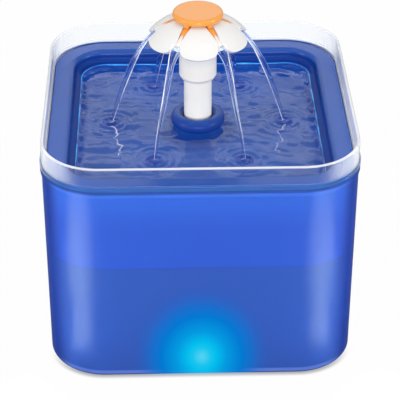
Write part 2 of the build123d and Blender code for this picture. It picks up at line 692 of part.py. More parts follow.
def make_strainer_cover():
    """Slotted shell that slides on from the front, round the nozzle."""
    shell = front_slab(pump_outline(), MOTOR_FRONT_Y, STRAINER_FRONT_Y)
    shell = fillet(shell.faces().sort_by(Axis.Y)[-1].edges(), 1.4)
    inner_front = STRAINER_FRONT_Y - STRAINER_WALL
    shell -= front_slab(pump_outline(STRAINER_WALL), MOTOR_FRONT_Y, inner_front)
    notch = drum(NOZZLE_R + 0.4, NOTCH_Z, PUMP_TOP_Z)
    notch += box(-NOZZLE_R - 0.4, NOZZLE_R + 0.4, MOTOR_FRONT_Y, 0, NOTCH_Z, PUMP_TOP_Z)
    side_slots = [box(-PUMP_HALF, PUMP_HALF, y - SLOT_HALF, y + SLOT_HALF, *SIDE_SLOT_Z)
                  for y in SIDE_SLOT_YS]
    front_slots = [box(x - SLOT_HALF, x + SLOT_HALF, inner_front, STRAINER_FRONT_Y,
                       *FRONT_SLOT_Z)
                   for x in FRONT_SLOT_XS]
    pin_hole = front_drum(DIAL_PIN_R + 0.08, inner_front, STRAINER_FRONT_Y)
    return shell - notch - side_slots - front_slots - pin_hole - inlet_windows(
        inner_front, STRAINER_FRONT_Y)


def make_prefilter_sponge():
    return front_slab(pump_outline(STRAINER_WALL + 0.3), *SPONGE_Y)


def make_flow_dial():
    """Turning shutter over the inlet windows, with a grip bar and a snap pin."""
    front = STRAINER_FRONT_Y + DIAL_THICK
    half_w, half_l = DIAL_GRIP
    dial = front_drum(DIAL_R, STRAINER_FRONT_Y, front)
    dial = fillet(dial.faces().sort_by(Axis.Y)[-1].edges(), 0.6)
    dial -= inlet_windows(STRAINER_FRONT_Y, front)
    dial += box(-half_w, half_w, front - 0.5, front + DIAL_THICK,
                ROTOR_Z - half_l, ROTOR_Z + half_l)
    dial += front_drum(DIAL_PIN_R, DIAL_SNAP_Y[0] + 0.1, STRAINER_FRONT_Y)
    return dial + front_drum(DIAL_PIN_R + 0.7, *DIAL_SNAP_Y)


NODES = {
    "water_tank": make_water_tank(),
    "cable_grommet": make_cable_grommet(),
    "splash_collar": make_splash_collar(),
    "filter_pan": make_filter_pan(),
    "cartridge_frame": make_cartridge_frame(),
    "cartridge_fleece_lower": cartridge_layer(GRID_TOP_Z, FLEECE_LOW_TOP_Z),
    "cartridge_granules": make_cartridge_granules(),
    "cartridge_fleece_upper": cartridge_layer(FLEECE_HIGH_Z, FLEECE_HIGH_TOP_Z),
    "drinking_tray": make_drinking_tray(),
    "riser_tube": make_riser_tube(),
    "flower_body": make_flower_body(),
    "flower_core": make_flower_core(),
    "motor_housing": make_motor_housing(),
    "motor_end_plate": make_motor_end_plate(),
    "stator_core": make_stator_core(),
    "coil_bobbin": make_coil_bobbin(),
    "motor_coil": make_motor_coil(),
    "led_board": make_led_board(),
    "led_lens": make_led_lens(),
    "pump_cable_gland": make_pump_cable_gland(),
    "pump_volute": make_pump_volute(),
    "rotor_shaft": make_rotor_shaft(),
    "shaft_bush_front": make_bush(*BUSH_Y, BUSH_R),
    "shaft_bush_rear": make_bush(WELL_END_Y, WELL_END_Y + REAR_BUSH_LENGTH, REAR_BUSH_R),
    "rotor_magnet": make_rotor_magnet(),
    "impeller": make_impeller(),
    "strainer_cover": make_strainer_cover(),
    "prefilter_sponge": make_prefilter_sponge(),
    "flow_dial": make_flow_dial(),
}
for number, (x, y) in enumerate(cup_places(), start=1):
    NODES[f"suction_cup_{number}"] = Pos(x, y, 0) * make_suction_cup()

os.makedirs("parts", exist_ok=True)
for name, shape in NODES.items():
    export_step(shape, f"parts/{name}.step")
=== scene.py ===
import json
from math import cos, exp, hypot, pi, radians, sin, sqrt
from random import Random

import bmesh
import bpy
from mathutils import Matrix, Vector


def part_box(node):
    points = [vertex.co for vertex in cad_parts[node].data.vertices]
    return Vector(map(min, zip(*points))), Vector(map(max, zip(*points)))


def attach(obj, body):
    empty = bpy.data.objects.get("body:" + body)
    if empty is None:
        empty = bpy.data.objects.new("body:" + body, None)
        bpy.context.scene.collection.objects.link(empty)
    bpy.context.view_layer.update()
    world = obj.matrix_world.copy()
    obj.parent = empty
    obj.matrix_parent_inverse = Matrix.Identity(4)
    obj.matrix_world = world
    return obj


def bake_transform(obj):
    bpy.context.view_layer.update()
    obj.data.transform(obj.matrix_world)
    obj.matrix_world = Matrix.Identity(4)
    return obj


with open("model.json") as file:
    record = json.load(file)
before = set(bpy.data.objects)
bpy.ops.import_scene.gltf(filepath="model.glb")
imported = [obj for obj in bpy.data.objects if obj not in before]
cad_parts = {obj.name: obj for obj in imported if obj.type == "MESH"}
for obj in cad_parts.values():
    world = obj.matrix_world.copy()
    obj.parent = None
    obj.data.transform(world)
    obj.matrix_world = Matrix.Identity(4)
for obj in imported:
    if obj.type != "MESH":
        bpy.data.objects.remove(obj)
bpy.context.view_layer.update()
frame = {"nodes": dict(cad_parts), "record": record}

MM = 0.001

# Places and sizes are in millimetres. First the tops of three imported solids
TANK_TOP, TRAY_TOP, COLLAR_TOP = (
    (high / MM).z
    for _, high in (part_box("water_tank"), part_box("drinking_tray"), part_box("splash_collar")))

TANK_HALF = 85.6  # half the tank's width under its lip
TANK_CORNER = 32.0
POOL_Z = TRAY_TOP - 8.2  # water level in the tray
POOL_HALF = 67.85
BOSS_R = 14.4
RESERVOIR_Z = 73.0  # water level in the tank
RESERVOIR_HALF = 83.2
RESERVOIR_FLOOR_Z = 3.55

# The flower, and the water that leaves it through the gaps of its petals
PETALS = 6
GAP_ANGLES = [radians(-90 + 60 * k + 30) for k in range(PETALS)]
WEB_R, WEB_Z = 40.0, 139.4  # sphere of the web that joins the petals
GROOVE_START, GROOVE_LENGTH = 15.5, 8.0  # along a gap, from the flower's axis
STREAM_TOP_R = 22.8
STREAM_TOP_Z = 172.6
STREAM_LAND_R = 49.0
LANDINGS = [(STREAM_LAND_R * cos(a), STREAM_LAND_R * sin(a)) for a in GAP_ANGLES]
FIRST_FALL = 0.33  # share of a stream's drop that its slope at the petals gives

# Water surfaces
WATER_IOR = 1.333
RIPPLE_SEED = 11
RING_HEIGHT, RING_LENGTH, RING_REACH = 0.36, 4.2, 11.0  # waves round each landing
CREEP_REACH = 1.1  # how far from a wall the water climbs it
WAKE_THICK = {-1: 0.50, 1: 0.24}  # half width of the bright threads left and right

# The lamp's glow, painted on the tank's front wall
GLOW_Z = 12.5
GLOW_R = 40.0
GLOW_RISE = 0.8  # a height over its middle counts this much as distance

# Camera, fitted to the view
AIM_Z = 60.0
CAMERA_AZIMUTH = -1.49
CAMERA_ELEVATION = 32.8
CAMERA_DISTANCE = 943.0
LENS_MM = 144.45
SHIFT_X = 0.0054
SHIFT_Y = 0.006

# Lamps: name, place, size and watts
LAMPS_AIM = (0, 0, 90)
LAMPS = (
    ("top_left", (-260, -150, 900), (90, 90), 0.36),
    ("top_right", (260, -150, 900), (90, 90), 0.36),
    ("front_fill", (0, -1250, 330), (700, 300), 5.2),
    ("left_fill", (-900, -380, 480), (400, 400), 2.7),
    ("right_fill", (900, -380, 480), (400, 400), 2.7),
    ("back_softbox", (0, 900, 660), (1100, 260), 0.8),
)
# Lamps low over the table: name, distance from a front corner, size and watts
STRIPS = (("near", 54, (36, 56), 0.075), ("far", 132, (112, 106), 0.44))
STRIP_CORNER = (67, -83, 60)
STRIP_TURN = 48.0  # degrees from the front, of the table that a front corner mirrors

TABLE_HALF = 3000.0
TABLE_Z = -0.05
# Painted shadow: the share of the table's white taken away along the tank's front
SHADOW_SHARE = 0.66  # of the table's white that goes where the tank's front stands on it


# ---------------------------------------------------------------- materials


class Look:
    """A material in the making: its Principled shader and the nodes that feed it."""

    def __init__(self, name, **values):
        self.material = bpy.data.materials.new(name)
        self.material.use_nodes = True
        self.tree = self.material.node_tree
        self.shader = self.tree.nodes["Principled BSDF"]
        self.output = self.tree.nodes["Material Output"]
        self.place = self.add("ShaderNodeTexCoord").outputs["Object"]
        for socket, value in values.items():
            self.feed(socket.replace("_", " "), value)

    def add(self, kind, **properties):
        node = self.tree.nodes.new(kind)
        for key, value in properties.items():
            setattr(node, key, value)
        return node

    def put(self, socket, value):
        """Sets a socket to a number or colour, or links another socket to it."""
        if isinstance(value, bpy.types.NodeSocket):
            self.tree.links.new(value, socket)
        elif isinstance(value, (tuple, list)) and len(value) == 3 and socket.type == "RGBA":
            socket.default_value = (*value, 1.0)
        else:
            socket.default_value = value

    def feed(self, name, value):
        self.put(self.shader.inputs[name], value)

    def math(self, operation, a, b=0.0):
        node = self.add("ShaderNodeMath", operation=operation)
        self.put(node.inputs[0], a)
        self.put(node.inputs[1], b)
        return node.outputs[0]

    def times(self, a, b):
        return self.math("MULTIPLY", a, b)

    def plus(self, a, b):
        return self.math("ADD", a, b)

    def minus(self, a, b):
        return self.math("SUBTRACT", a, b)

    def length(self, a, b):
        """Length of a line from its parts along two axes."""
        return self.math("SQRT", self.plus(self.times(a, a), self.times(b, b)))

    def between(self, value, low, high):
        """Goes smoothly from 0 at low to 1 at high."""
        node = self.add("ShaderNodeMapRange", interpolation_type="SMOOTHSTEP")
        self.put(node.inputs["Value"], value)
        self.put(node.inputs["From Min"], low)
        self.put(node.inputs["From Max"], high)
        return node.outputs["Result"]

    def between_mm(self, value, low, high):
        """The same for a place, with low and high in millimetres."""
        return self.between(value, low * MM, high * MM)

    def axes(self):
        node = self.add("ShaderNodeSeparateXYZ")
        self.put(node.inputs[0], self.place)
        return node.outputs

    def from_axis(self):
        """Distance from the vertical axis of the fountain."""
        x, y, _ = self.axes()
        return self.length(x, y)

    def stretched(self, scale):
        node = self.add("ShaderNodeMapping")
        self.put(node.inputs["Vector"], self.place)
        node.inputs["Scale"].default_value = scale
        return node.outputs[0]

    def noise(self, scale, detail=3.0, roughness=0.55, stretch=None):
        node = self.add("ShaderNodeTexNoise")
        self.put(node.inputs["Vector"], self.stretched(stretch) if stretch else self.place)
        self.put(node.inputs["Scale"], scale)
        self.put(node.inputs["Detail"], detail)
        self.put(node.inputs["Roughness"], roughness)
        return node.outputs["Fac"]

    def cells(self, scale, output="Distance"):
        node = self.add("ShaderNodeTexVoronoi")
        self.put(node.inputs["Vector"], self.place)
        self.put(node.inputs["Scale"], scale)
        return node.outputs[output]

    def stripes(self, direction, scale):
        """Even stripes across an axis."""
        node = self.add("ShaderNodeTexWave", wave_type="BANDS", bands_direction=direction)
        self.put(node.inputs["Vector"], self.place)
        self.put(node.inputs["Scale"], scale)
        return node.outputs["Fac"]

    def ramp(self, factor, stops):
        node = self.add("ShaderNodeValToRGB")
        band = node.color_ramp
        while len(band.elements) < len(stops):
            band.elements.new(0.5)
        for element, (position, colour) in zip(band.elements, stops):
            element.position = position
            element.color = (*colour, 1.0)
        self.put(node.inputs[0], factor)
        return node.outputs[0]

    def mix(self, factor, a, b):
        """Colour a where the factor is 0 and colour b where it is 1."""
        node = self.add("ShaderNodeMix", data_type="RGBA")
        self.put(node.inputs[0], factor)
        self.put(node.inputs[6], a)
        self.put(node.inputs[7], b)
        return node.outputs[2]

    def bump(self, height, strength, distance_mm):
        node = self.add("ShaderNodeBump")
        self.put(node.inputs["Height"], height)
        self.put(node.inputs["Strength"], strength)
        self.put(node.inputs["Distance"], distance_mm * MM)
        self.feed("Normal", node.outputs[0])

    def polish(self, roughness, unevenness, scale, detail=3.0):
        """Roughness that rises unevenly above its lowest value."""
        uneven = self.times(self.noise(scale, detail), unevenness)
        self.feed("Roughness", self.plus(uneven, roughness))

    def slant(self):
        """0 where the surface faces the eye, 1 where it is seen along itself."""
        node = self.add("ShaderNodeLayerWeight")
        node.inputs["Blend"].default_value = 0.5
        return node.outputs["Facing"]

    def lets_lamps_through(self, tint):
        """Glass that colours the light of lamps instead of casting a black shadow."""
        path = self.add("ShaderNodeLightPath")
        clear = self.add("ShaderNodeBsdfTransparent")
        self.put(clear.inputs["Color"], tint)
        mix_shaders(self.tree, self.output, path.outputs["Is Shadow Ray"],
                    self.shader.outputs[0], clear.outputs[0])


def mix_shaders(tree, output, factor, first, second):
    """Gives the output the first shader where the factor is 0, the second where it is 1."""
    both = tree.nodes.new("ShaderNodeMixShader")
    for socket, source in zip(both.inputs, (factor, first, second)):
        tree.links.new(source, socket)
    tree.links.new(both.outputs[0], output.inputs["Surface"])


def seen_by_eye(tree):
    """1 for what the camera sees, straight or through glass, and 0 for other light."""
    path = tree.nodes.new("ShaderNodeLightPath")
    either = tree.nodes.new("ShaderNodeMath")
    either.operation = "MAXIMUM"
    tree.links.new(path.outputs["Is Camera Ray"], either.inputs[0])
    tree.links.new(path.outputs["Is Transmission Ray"], either.inputs[1])
    return either.outputs[0]


def greys(*stops):
    """Stops of a grey ramp, from pairs of position and brightness."""
    return [(position, (level, level, level)) for position, level in stops]


def moulded(name, colour, dark, roughness=0.3, grain=900.0, depth=0.04, **values):
    """Injection-moulded plastic: a fine grain, a slow drift of tone, uneven polish."""
    look = Look(name, **values)
    look.feed("Base Color", look.mix(look.noise(14.0, 2.0), colour, dark))
    look.polish(roughness - 0.06, 0.12, 55.0, 4.0)
    look.bump(look.noise(grain, 2.0), 0.25, depth)
    return look


def tank_material():
    """Tinted plastic with painted light and shade: lighter toward the lip, darker below the level
    of the water behind it, the lamp's light painted on its front, and painted highlights and
    shade at the lip, the foot and the edges.
    """
    look = Look("tank_blue", IOR=1.5)
    x, y, z = look.axes()
    # Painted light: the wall lighter toward its lip, where more light falls
    to_lip = look.between_mm(z, 95, 121)
    wall = look.mix(to_lip, (0.020, 0.092, 0.585), (0.027, 0.130, 0.700))
    # Painted shade: the wall darker below the level of the water behind it
    wet = look.between_mm(z, RESERVOIR_Z + 0.8, RESERVOIR_Z - 0.6)
    wall = look.mix(wet, wall, (0.022, 0.087, 0.440))
    # Painted dark line where the water's surface meets the wall behind it
    off_level = look.math("ABSOLUTE", look.minus(z, RESERVOIR_Z * MM))
    water_line = look.times(look.between_mm(off_level, 1.3, 0.2), 0.5)
    wall = look.mix(water_line, wall, (0.014, 0.070, 0.420))
    # Painted reflection of the table: a lighter band on the foot's rounding
    foot = look.between_mm(z, 4.4, 3.0)
    wall = look.mix(foot, wall, (0.110, 0.210, 0.700))
    # Painted shade on the underside of the foot
    foot_shade = look.between_mm(z, 1.9, 0.9)
    wall = look.mix(foot_shade, wall, (0.020, 0.050, 0.200))
    cloud = look.times(look.noise(11.0, 3.0, 0.5, (1, 1, 0.35)), 0.25)
    wall = look.mix(cloud, wall, (0.011, 0.068, 0.440))
    # Painted highlight along the wall just under the lip
    lip_shine = look.times(look.between_mm(z, 117.4, 118.8), 0.5)
    wall = look.mix(lip_shine, wall, (0.050, 0.190, 0.800))
    # Painted shadow line under the collar's flange, at the top of the lip
    lip_shade = look.between_mm(z, 120.2, 121.0)
    wall = look.mix(lip_shade, wall, (0.006, 0.050, 0.360))
    # Painted shade: the wall darker where it is seen along itself
    turned = look.times(look.between(look.slant(), 0.40, 0.62), 0.8)
    wall = look.mix(turned, wall, (0.006, 0.032, 0.270))

    # The lamp's light painted on the front wall: an emitted glow, over a darker base colour where
    # it lies
    up = look.times(look.minus(z, GLOW_Z * MM), GLOW_RISE)
    spread = look.math("DIVIDE", look.length(x, up), GLOW_R * MM)
    front = look.between_mm(y, -66, -80)
    light = look.ramp(spread, [
        (0.00, (0.093, 0.640, 0.800)),
        (0.12, (0.010, 0.550, 0.740)),
        (0.20, (0.000, 0.500, 0.750)),
        (0.35, (0.000, 0.310, 0.640)),
        (0.57, (0.000, 0.175, 0.530)),
        (0.70, (0.000, 0.115, 0.380)),
        (0.82, (0.000, 0.042, 0.150)),
        (0.95, (0.000, 0.000, 0.000)),
    ])
    cover = look.ramp(spread, greys((0.57, 0.97), (0.70, 0.72), (0.82, 0.30), (0.95, 0.00)))
    lit = look.times(cover, front)
    look.feed("Base Color", look.mix(lit, wall, (0.0, 0.010, 0.090)))
    look.feed("Emission Color", look.mix(front, (0.0, 0.0, 0.0), light))
    look.feed("Emission Strength", 1.0)

    # Seen along its surface the tinted wall shows its depth more than the table's glare
    edge_on = look.times(look.between(look.slant(), 0.42, 0.68), 0.46)
    glare = look.minus(look.minus(0.5, look.times(lit, 0.5)), edge_on)
    look.feed("Specular IOR Level", look.math("MAXIMUM", glare, 0.0))
    look.polish(0.29, 0.04, 9.0, 1.0)
    look.bump(look.noise(700.0, 2.0), 0.10, 0.02)
    return look.material


def white_material():
    """White of the flower and the riser, with painted shade on the lower parts of the petals and,
    on the riser low down over the blue water, a painted warmer and brighter tone.
    """
    look = moulded("white_plastic", (0.872, 0.868, 0.856), (0.846, 0.842, 0.836),
                   0.30, 900.0, 0.02, Specular_IOR_Level=0.25)
    white = look.shader.inputs["Base Color"].links[0].from_socket
    z = look.axes()[2]
    # Painted shade: the petals darker low down
    white = look.mix(look.between_mm(z, 176, 168), white, (0.832, 0.829, 0.822))
    # Painted light: a warmer, brighter white on the riser, against the blue light from the tray
    # below
    low = look.between_mm(z, 160, 152)
    look.feed("Base Color", look.mix(low, white, (0.965, 0.935, 0.860)))
    return look.material


def tray_material():
    """Blue plastic, with painted shade, darker and less glossy, on the slopes between the rim and
    the water, and a painted shadow on the basin floor round the boss.
    """
    look = Look("tray_blue")
    z = look.axes()[2]
    # Painted shade on the slopes between the rim and the water
    slope = look.times(look.between_mm(z, TRAY_TOP - 0.7, TRAY_TOP - 3.4),
                       look.between_mm(z, POOL_Z - 1.5, POOL_Z + 0.5))
    dry = look.mix(look.noise(14.0, 2.0), (0.013, 0.082, 0.390), (0.009, 0.068, 0.350))
    # Painted shadow on the basin floor under the boss's ring
    boss_ring_shadow = look.between_mm(look.from_axis(), 27, 21)
    floor = look.mix(boss_ring_shadow, (0.008, 0.078, 0.385), (0.010, 0.066, 0.325))
    under_water = look.between_mm(z, POOL_Z - 0.5, POOL_Z - 2.5)
    tone = look.mix(under_water, dry, floor)
    look.feed("Base Color", look.mix(slope, tone, (0.008, 0.044, 0.270)))
    # The shaded slopes are also less glossy, more so out by the wall
    by_wall = look.times(look.between_mm(look.from_axis(), 22, 28), 0.13)
    wet = look.times(slope, look.plus(by_wall, 0.19))
    look.feed("Specular IOR Level", look.minus(0.38, wet))
    look.polish(0.19, 0.12, 55.0, 4.0)
    look.bump(look.noise(800.0, 2.0), 0.25, 0.03)
    return look.material


def clear_material():
    """Polished clear plastic, a little hazy and rippled from moulding flow, with a painted white
    sheen where it is seen along itself and a painted highlight along its top edge.

    Along the front its flange is painted with the blue of the tank's lip seen through it, and a
    painted dark line of shade runs along its seam with the tank.
    """
    look = Look("clear_plastic", IOR=1.12)
    _, y, z = look.axes()
    # Painted highlight along the top edge
    rim = look.between_mm(z, COLLAR_TOP - 1.1, COLLAR_TOP - 0.3)
    # Painted dark line of shade where the collar meets the tank's lip
    seam = look.times(look.between_mm(z, TANK_TOP + 0.9, TANK_TOP + 0.2),
                      look.between_mm(z, TANK_TOP - 0.3, TANK_TOP - 0.1))
    # Painted blue of the tank's lip, seen through the front of the flange
    flange = look.times(look.between_mm(y, -52, -80),
                        look.between_mm(z, TANK_TOP + 2.9, TANK_TOP + 2.4))
    tint = look.mix(flange, (0.96, 0.98, 1.0), (0.080, 0.230, 0.640))
    look.feed("Base Color", look.mix(seam, tint, (0.014, 0.080, 0.380)))
    # Painted white sheen where the wall is seen along itself
    edge_on = look.ramp(look.slant(), greys((0.20, 0.00), (0.36, 0.22), (0.60, 0.36),
                                            (0.74, 0.52), (0.86, 0.90), (0.94, 0.97)))
    # Where these painted marks lie, their colour shows instead of the see-through plastic
    painted_share = look.math("MAXIMUM", look.times(rim, 0.7), edge_on)
    painted_share = look.math("MAXIMUM", painted_share, look.times(flange, 0.55))
    painted_share = look.math("MAXIMUM", painted_share, look.times(seam, 0.85))
    look.feed("Transmission Weight", look.minus(1.0, painted_share))
    look.polish(0.015, 0.05, 30.0, 3.0)
    look.bump(look.noise(45.0, 2.0, 0.5, (1, 1, 0.3)), 0.08, 0.10)
    look.lets_lamps_through((0.93, 0.95, 0.98))
    return look.material


def water_material(name, tint, lamp_tint):
    """Clear water with a finely moving surface."""
    look = Look(name, Base_Color=tint, IOR=WATER_IOR, Transmission_Weight=1.0, Roughness=0.0)
    look.bump(look.noise(170.0, 3.0, 0.5, (1, 1.6, 1)), 0.10, 0.25)
    look.lets_lamps_through(lamp_tint)
    return look.material


def groove_material():
    """Water in the gaps of the petals, with a painted white glow of gathered light where it
    leaves the orange arms.
    """
    look = Look("groove_water", Base_Color=(0.97, 0.95, 0.94), IOR=WATER_IOR, Roughness=0.08)
    # Painted glow: the film whiter and less clear past the arms
    past_arms = look.between_mm(look.from_axis(), GROOVE_START, GROOVE_START + 4)
    look.feed("Transmission Weight", look.minus(1.0, look.times(past_arms, 0.72)))
    look.lets_lamps_through((1.0, 0.97, 0.95))
    return look.material


def pool_material():
    """Still water, with painted shade in the crater that each stream digs where it lands."""
    look = Look("pool_water", IOR=WATER_IOR, Transmission_Weight=1.0, Roughness=0.0)
    x, y, _ = look.axes()
    reach = look.from_axis()
    # Parts of the way from the nearest landing, across and along its direction
    off = look.math("PINGPONG", look.math("ARCTAN2", y, x), pi / PETALS)
    across = look.times(reach, look.math("SINE", off))
    along = look.minus(look.times(reach, look.math("COSINE", off)), STREAM_LAND_R * MM)
    ragged = look.minus(look.times(look.noise(240.0, 2.0), 4.0 * MM), 2.0 * MM)
    away = look.plus(look.length(across, along), ragged)
    # Painted shade in the crater round each landing
    crater = look.times(look.between_mm(away, 5.6, 4.4), look.between_mm(away, 0.8, 2.6))
    look.feed("Base Color", look.mix(look.times(crater, 0.92), (0.82, 0.95, 1.0),
                                     (0.06, 0.20, 0.72)))
    look.bump(look.noise(120.0, 2.0, 0.5, (1, 1.6, 1)), 0.08, 0.25)
    look.lets_lamps_through((0.93, 0.96, 1.0))
    return look.material


def bright_rim_material():
    """Thick rim of a falling ribbon, with a painted highlight: white where it gathers the light,
    more so higher up.
    """
    look = Look("stream_rim", Base_Color=(0.97, 0.98, 1.0), IOR=WATER_IOR, Roughness=0.05)
    # Painted highlight: whiter and less clear higher up, broken into patches
    high = look.plus(look.times(look.between_mm(look.axes()[2], 125, 160), 0.50), 0.36)
    broken = look.between(look.noise(110.0, 2.0, 0.6, (1, 1, 0.3)), 0.38, 0.58)
    broken = look.plus(look.times(broken, 0.7), 0.3)
    look.feed("Transmission Weight", look.minus(0.92, look.times(high, broken)))
    look.lets_lamps_through((0.97, 0.98, 1.0))
    return look.material


def dark_rim_material():
    """The rim of a ribbon that turns away from the light, painted with the shaded blue behind it.
    """
    # Painted shade: a blue base that stands in for the shade on this rim
    look = Look("stream_rim_dark", Base_Color=(0.30, 0.42, 0.86), IOR=WATER_IOR, Roughness=0.03)
    high = look.between_mm(look.axes()[2], 152, 166)
    look.feed("Transmission Weight", look.minus(0.95, look.times(high, 0.2)))
    look.lets_lamps_through((0.90, 0.94, 1.0))
    return look.material


def meniscus_material():
    """The raised edge of the pool, with a painted glow for the light it gathers from the blue
    wall.
    """
    look = Look("meniscus", IOR=WATER_IOR, Roughness=0.08)
    streak = look.noise(60.0, 3.0, 0.6)
    # Painted light: bright cyan streaks in the colour and an emitted glow
    look.feed("Base Color", look.ramp(streak, [(0.35, (0.02, 0.14, 0.55)),
                                               (0.65, (0.06, 0.42, 0.92))]))
    look.feed("Emission Color", look.ramp(streak, [(0.38, (0.0, 0.02, 0.10)),
                                                   (0.70, (0.03, 0.26, 0.62))]))
    look.feed("Emission Strength", 0.6)
    look.bump(look.noise(300.0, 2.0), 0.2, 0.05)
    return look.material


def fleece_material():
    """Pressed white fibres that cross each other."""
    look = Look("fleece", Roughness=0.95, Sheen_Weight=0.3)
    fibres = look.times(look.noise(1400.0, 5.0, 0.7, (1, 0.25, 1)),
                        look.noise(1300.0, 5.0, 0.7, (0.25, 1, 1)))
    look.feed("Base Color", look.ramp(fibres, [(0.12, (0.66, 0.66, 0.63)),
                                               (0.40, (0.90, 0.90, 0.88))]))
    look.bump(fibres, 0.7, 0.5)
    return look.material


def granule_material():
    """Carbon grains with a few amber beads of resin."""
    look = Look("carbon")
    grain = look.cells(620.0)
    resin = look.between(look.cells(620.0, "Color"), 0.62, 0.66)
    look.feed("Base Color", look.mix(resin, (0.018, 0.018, 0.020), (0.55, 0.30, 0.08)))
    look.feed("Roughness", look.plus(look.times(grain, 0.4), 0.35))
    look.bump(grain, 0.9, 0.9)
    return look.material


def sponge_material():
    """Black foam with open pores."""
    look = Look("sponge", Roughness=1.0)
    pore = look.cells(1100.0)
    look.feed("Base Color", look.ramp(pore, [(0.1, (0.004, 0.005, 0.006)),
                                             (0.6, (0.055, 0.062, 0.070))]))
    look.bump(pore, 1.0, 0.8)
    return look.material


def copper_material():
    """Wire wound side by side along the bobbin."""
    look = Look("copper", Metallic=0.9)
    wires = look.stripes("X", 620.0)
    look.feed("Base Color", look.ramp(wires, [(0.1, (0.16, 0.05, 0.02)),
                                              (0.7, (0.72, 0.31, 0.13))]))
    look.polish(0.2, 0.2, 500.0)
    look.bump(wires, 0.9, 0.15)
    return look.material


def lamination_material():
    """Edges of the stacked sheets of the stator's core."""
    look = Look("laminations", Metallic=0.85)
    sheets = look.stripes("Y", 500.0)
    look.feed("Base Color", look.ramp(sheets, [(0.1, (0.10, 0.09, 0.09)),
                                               (0.5, (0.38, 0.37, 0.37))]))
    look.polish(0.3, 0.3, 240.0)
    look.bump(sheets, 0.5, 0.1)
    return look.material


def board_material():
    """Green circuit board with lighter lanes."""
    look = Look("circuit_board", Roughness=0.35)
    lane = look.between(look.cells(420.0, "Color"), 0.5, 0.6)
    look.feed("Base Color", look.mix(lane, (0.012, 0.090, 0.040), (0.030, 0.180, 0.070)))
    look.bump(look.noise(600.0), 0.3, 0.05)
    return look.material


def lens_material():
    """Potted lens, lit from behind by the blue lamps."""
    look = Look("lens_clear", IOR=1.5)
    spot = look.cells(165.0)
    look.feed("Base Color", look.ramp(spot, [(0.0, (0.55, 0.90, 1.0)),
                                             (0.7, (0.10, 0.45, 0.90))]))
    look.feed("Emission Color", look.ramp(spot, [(0.0, (0.35, 0.90, 1.0)),
                                                 (0.6, (0.02, 0.35, 0.95))]))
    look.feed("Emission Strength", 1.0)
    look.polish(0.12, 0.1, 300.0)
    return look.material


def slot_materials():
    """One material for each of the record's slots."""
    plain = {  # two tones, roughness, grain's scale and grain's depth
        "orange_plastic": ((0.950, 0.385, 0.072), (0.930, 0.360, 0.062), 0.11, 900.0, 0.02),
        "grey_silicone": ((0.060, 0.075, 0.110), (0.045, 0.055, 0.085), 0.62, 700.0, 0.05),
        "pan_white": ((0.700, 0.740, 0.790), (0.640, 0.690, 0.750), 0.42, 700.0, 0.05),
        "cartridge_white": ((0.800, 0.810, 0.800), (0.740, 0.750, 0.745), 0.45, 700.0, 0.05),
        "pump_black": ((0.022, 0.022, 0.025), (0.014, 0.014, 0.016), 0.48, 1100.0, 0.10),
        "bobbin_nylon": ((0.760, 0.730, 0.620), (0.690, 0.660, 0.550), 0.45, 700.0, 0.05),
        "black_rubber": ((0.014, 0.014, 0.014), (0.022, 0.022, 0.022), 0.72, 900.0, 0.10),
        "ceramic": ((0.830, 0.830, 0.800), (0.780, 0.780, 0.750), 0.14, 900.0, 0.01),
        "magnet": ((0.045, 0.045, 0.050), (0.075, 0.075, 0.080), 0.55, 1300.0, 0.12),
        "impeller_white": ((0.760, 0.760, 0.740), (0.700, 0.700, 0.690), 0.40, 800.0, 0.05),
        "dial_grey": ((0.130, 0.135, 0.145), (0.105, 0.110, 0.120), 0.42, 900.0, 0.06),
        "cup_silicone": ((0.560, 0.600, 0.640), (0.500, 0.550, 0.590), 0.35, 600.0, 0.04),
    }
    made = {slot: moulded(slot, *numbers).material for slot, numbers in plain.items()}
    made["white_plastic"] = white_material()
    made["tray_blue"] = tray_material()
    made["tank_blue"] = tank_material()
    made["clear_plastic"] = clear_material()
    made["fleece"] = fleece_material()
    made["carbon"] = granule_material()
    made["sponge"] = sponge_material()
    made["copper"] = copper_material()
    made["laminations"] = lamination_material()
    made["circuit_board"] = board_material()
    made["lens_clear"] = lens_material()
    return made


def dress_nodes(materials):
    """Gives each CAD node the material of its slot."""
    for part in frame["record"]["subparts"]:
        mesh = frame["nodes"][part["node"]].data
        mesh.materials.clear()
        mesh.materials.append(materials[part["material_slot"]])


# ---------------------------------------------------------------- mesh helpers


def place_mesh(name, mesh, material, smooth=True):
    """Links an object for a finished mesh."""
    if smooth:
        mesh.polygons.foreach_set("use_smooth", [True] * len(mesh.polygons))
    mesh.materials.append(material)
    piece = bpy.data.objects.new(name, mesh)
    bpy.context.scene.collection.objects.link(piece)
    return piece


def make_piece(name, points, faces, material, smooth=True):
    """A mesh object from points in millimetres."""
    mesh = bpy.data.meshes.new(name)
    mesh.from_pydata([Vector(p) * MM for p in points], [], faces)
    mesh.validate()
    mesh.update()
    return place_mesh(name, mesh, material, smooth)


def outward(piece):
    """Turns a closed mesh's faces to point out."""
    shape = bmesh.new()
    shape.from_mesh(piece.data)
    bmesh.ops.recalc_face_normals(shape, faces=shape.faces)
    shape.to_mesh(piece.data)
    shape.free()


def grid_faces(rows, columns, closed=True):
    """Quads of a sheet of rows by columns points, joined round in each row if closed."""
    faces = []
    for i in range(rows - 1):
        for j in range(columns if closed else columns - 1):
            k = (j + 1) % columns
            faces.append((i * columns + j, i * columns + k,
                          (i + 1) * columns + k, (i + 1) * columns + j))
    return faces


def tube_faces(rows, section):
    """Quads of a tube of rows rings, and a cap on each of its ends."""
    last = (rows - 1) * section
    return grid_faces(rows, section) + [tuple(reversed(range(section))),
                                        tuple(last + s for s in range(section))]


